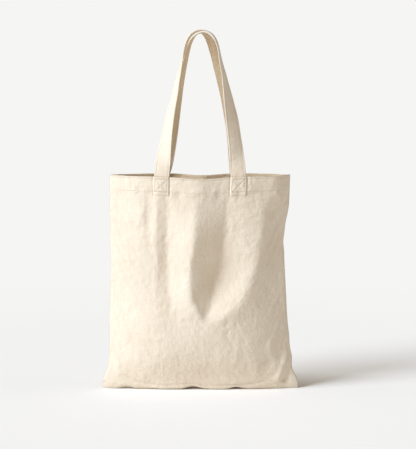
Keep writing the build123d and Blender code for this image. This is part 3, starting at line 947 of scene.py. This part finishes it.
def strap_across(feet, centre, at, turns, side, rise):
    """The directions across and along the free strap at each of its rows."""
    along = unit(np.gradient(centre, at, axis=0))
    height = centre[:, 2] - min(feet[0][0][2], feet[1][0][2])
    top = int(np.argmax(height))
    heights, left, right = zip(*turns)
    angle = np.interp(height, heights, left)
    angle[top:] = 180 - np.interp(height, heights, right)[top:]
    even = np.linspace(at[0], at[-1], TURN_SAMPLES)
    angle = np.radians(np.interp(at, even, soften(np.interp(even, at, angle), even[1], TURN_BLUR)))
    yaw = np.radians(APEX_YAW) * np.clip(height / rise, 0, 1)
    angle = angle + yaw * np.sin(angle)
    across = np.stack([np.cos(angle), side * np.sin(angle), np.zeros_like(angle)], -1)
    for (_, flat), run in zip(feet, (at, at[-1] - at)):
        settle = 1 - ease(run / FLAT_REACH)
        across = across * (1 - settle[:, None]) + flat * settle[:, None]
    return unit(across - along * (across * along).sum(-1, keepdims=True)), along


def build_strap(word, panel, halves, lean, turns, seed):
    """One strap from sewn end to sewn end, with its rows of edge stitches, and its length."""
    side = panel.side
    depth = HEM_THICK + STRAP_GAP + STRAP_THICK / 2
    section = strap_section()
    feet = strap_feet(panel, depth)
    path = strap_path(feet, halves, side, lean)
    run = row_places(len(path) - 1.0)
    centre = read_line(run, np.arange(len(path)), path)
    across, along = strap_across(feet, centre, run, turns, side, halves[0][-1][1])
    face = np.cross(across, along) * (-side)

    ends = ease(run / WAVE_FADE) * ease((run[-1] - run) / WAVE_FADE)
    camber = sum(amount * line_noise(run, length, seed + k)
                 for k, (amount, length) in enumerate(CAMBERS)) * ends
    rows = []
    for w, t in section:
        wave = WAVE * noise(run, 0 * run + w, WAVE_ALONG, WAVE_ACROSS, seed + 2) * ends
        width = w * (1 + WIDTH_CHANGE * line_noise(run, WIDTH_WAVE, seed + 3))
        lift = t + camber * (1 - (w / CAMBER_HALF) ** 2) + wave
        rows.append(centre + across * width[:, None] + face * lift[:, None])
    free = np.stack(rows, 1)

    # The sewn ends follow the inside of the hem, and the free strap's ends bend to meet them.
    below = np.concatenate([[END_DEPTH], np.linspace(END_DEPTH - SEWN_STEP, 0.0, SEWN_ROWS)])
    sewn = []
    for end, flip in zip(panel.ends, (1, -1)):
        grid = np.zeros((len(below), len(section), 3))
        for m, (w, t) in enumerate(section):
            u = np.full(len(below), end + w * flip)
            grid[:, m] = panel.at(panel.grid, u, below) - panel.at(panel.normals, u, below) * (depth - t)
        sewn.append(grid)
    for k, first, away in ((0, 0, run), (1, -1, run[-1] - run)):
        miss = sewn[k][-1] - free[first]
        free += miss[None] * (1 - ease(away / MEET_REACH))[:, None, None]
    grid = np.concatenate([sewn[0][:-1], free, sewn[1][:-1][::-1]])
    steps = np.concatenate([-below[:-1], run, run[-1] + below[:-1][::-1]])
    places = np.zeros(grid.shape)
    places[..., 0] = section[:, 0]
    places[..., 1] = steps[:, None]
    # The strap's inner face is tagged here, so that the material gives it its painted shade.
    places[..., 2] = np.where(section[:, 1] < 0, INSIDE, 0.0)
    strap = loft(f"{word}_strap", grid, places, STRAP_CLOTH, side < 0)

    # Edge stitches lie in the grooves of both faces, from rim to rim.
    paths, sides = [], []
    starts = np.arange(EDGE_START, run[-1] - EDGE_STOP, STITCH)
    for m, (w, t) in enumerate(section):
        if abs(w) == EDGE_ROW:
            p, q = [read_line(place, run, free[:, m]) for place in (starts, starts + STITCH * STITCH_SHARE)]
            normals = read_line(starts + STITCH / 2, run, face) * (1 if t > 0 else -1)
            paths.append(stitch_paths(p, q, normals))
            sides.append(read_line(starts, run, across))
    thread = tubes(f"{word}_strap_stitches", np.concatenate(paths), np.concatenate(sides))
    return strap, thread, steps[-1] - steps[0]


for word, panel, halves, lean, turns, seed in (
        ("front", front_panel, (FRONT_LEG, FRONT_LEG), FRONT_LEAN, FRONT_TURN, 400),
        ("back", back_panel, (BACK_LEFT, BACK_RIGHT), BACK_LEAN, BACK_TURN, 500)):
    strap, thread, length = build_strap(word, panel, halves, lean, turns, seed)
    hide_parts(f"{word}_handle", f"{word}_handle_left_end", f"{word}_handle_right_end")
    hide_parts(f"{word}_handle_stitching")
    for piece in (strap, thread):
        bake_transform(piece)
    cloth, hem, boxes = pieces[word]


# ---- Camera, floor and lights, in metres ----
CAMERA_PLACE = (0.0, -2.8, 0.62)
CAMERA_TARGET = (0.0155, 0.0, 0.3237)
VIEW_HEIGHT = 0.8735  # what the long side of the picture spans at the bag
SENSOR = 36.0
FLOOR_HALF = 60.0
FLOOR_COLOUR = (0.95, 0.92, 0.875, 1)
BACKDROP = (0.915, 0.912, 0.90, 1)
SKY_LIGHT, SKY_STRENGTH = (1, 0.92, 0.815, 1), 0.36
NEAR_GLOW = 0.42  # share of the near floor's brightness that doesn't depend on the lights
GLOW_FROM, GLOW_TO, GLOW_LONG = 0.045, 0.15, 0.2  # it grows between these distances; last, their scale in X
FADE_FROM, FADE_TO = 0.5, 1.6  # the floor fades into the backdrop between these
KEY_SUN = dict(azimuth=-60, elevation=34, spread=26, strength=3.5, colour=(0.895, 0.99, 1.13))


def aim(obj, direction):
    obj.rotation_mode = "QUATERNION"
    obj.rotation_quaternion = direction.to_track_quat("-Z", "Y")


def add_camera():
    camera = add_object("camera", bpy.data.cameras.new("camera"))
    camera.location = CAMERA_PLACE
    direction = Vector(CAMERA_TARGET) - Vector(CAMERA_PLACE)
    aim(camera, direction)
    camera.data.sensor_width = SENSOR
    camera.data.lens = SENSOR * direction.length / VIEW_HEIGHT
    bpy.context.scene.camera = camera


def add_sun(name, azimuth, elevation, spread, strength, colour):
    """A sun at that azimuth, positive to the viewer's right, and elevation, in degrees."""
    sun = add_object(name, bpy.data.lights.new(name, "SUN"))
    sun.data.angle = math.radians(spread)
    sun.data.energy = strength
    sun.data.color = colour
    a, e = math.radians(azimuth), math.radians(elevation)
    aim(sun, Vector((-math.sin(a) * math.cos(e), math.cos(a) * math.cos(e), -math.sin(e))))


def add_floor():
    half = FLOOR_HALF
    mesh = bpy.data.meshes.new("floor")
    mesh.from_pydata([(-half, -half, 0), (half, -half, 0), (half, half, 0), (-half, half, 0)],
                     [], [(0, 1, 2, 3)])
    floor = add_object("floor", mesh)
    material = bpy.data.materials.new("floor")
    tree, put, add, maths, _, fit, _ = node_maker(material)
    shader = tree.nodes["Principled BSDF"]
    shader.inputs["Base Color"].default_value = FLOOR_COLOUR
    shader.inputs["Roughness"].default_value = 0.9
    shader.inputs["Specular IOR Level"].default_value = 0.1
    place = add("TexCoord").outputs["Object"]
    away = add("VectorMath", {0: place}, operation="LENGTH").outputs[1]
    beside = add("Mapping", {0: place, 3: (GLOW_LONG, 1.0, 1.0)}).outputs[0]
    beside = add("VectorMath", {0: beside}, operation="LENGTH").outputs[1]
    near = fit(beside, GLOW_FROM, GLOW_TO, 0.0, NEAR_GLOW)
    far = fit(away, FADE_FROM, FADE_TO, 0.0, 1 - NEAR_GLOW, interpolation_type="SMOOTHSTEP")
    glow = add("Emission", {0: BACKDROP}).outputs[0]
    faded = add("MixShader", {0: maths("ADD", near, far), 1: shader.outputs[0], 2: glow}).outputs[0]
    put(tree.nodes["Material Output"].inputs["Surface"], faded)
    mesh.materials.append(material)


def add_world():
    """A pale sky that lights the bag evenly. The camera sees the backdrop's colour in its place."""
    world = bpy.data.worlds.new("world")
    bpy.context.scene.world = world
    tree, put, add = node_maker(world)[:3]
    lit = add("Background", {"Color": SKY_LIGHT, "Strength": SKY_STRENGTH}).outputs[0]
    seen = add("Background", {"Color": BACKDROP}).outputs[0]
    by_camera = add("LightPath").outputs["Is Camera Ray"]
    mixed = add("MixShader", {0: by_camera, 1: lit, 2: seen}).outputs[0]
    put(tree.nodes["World Output"].inputs["Surface"], mixed)


add_camera()
add_floor()
add_world()
add_sun("key", **KEY_SUN)
bpy.context.scene.view_settings.view_transform = "Standard"
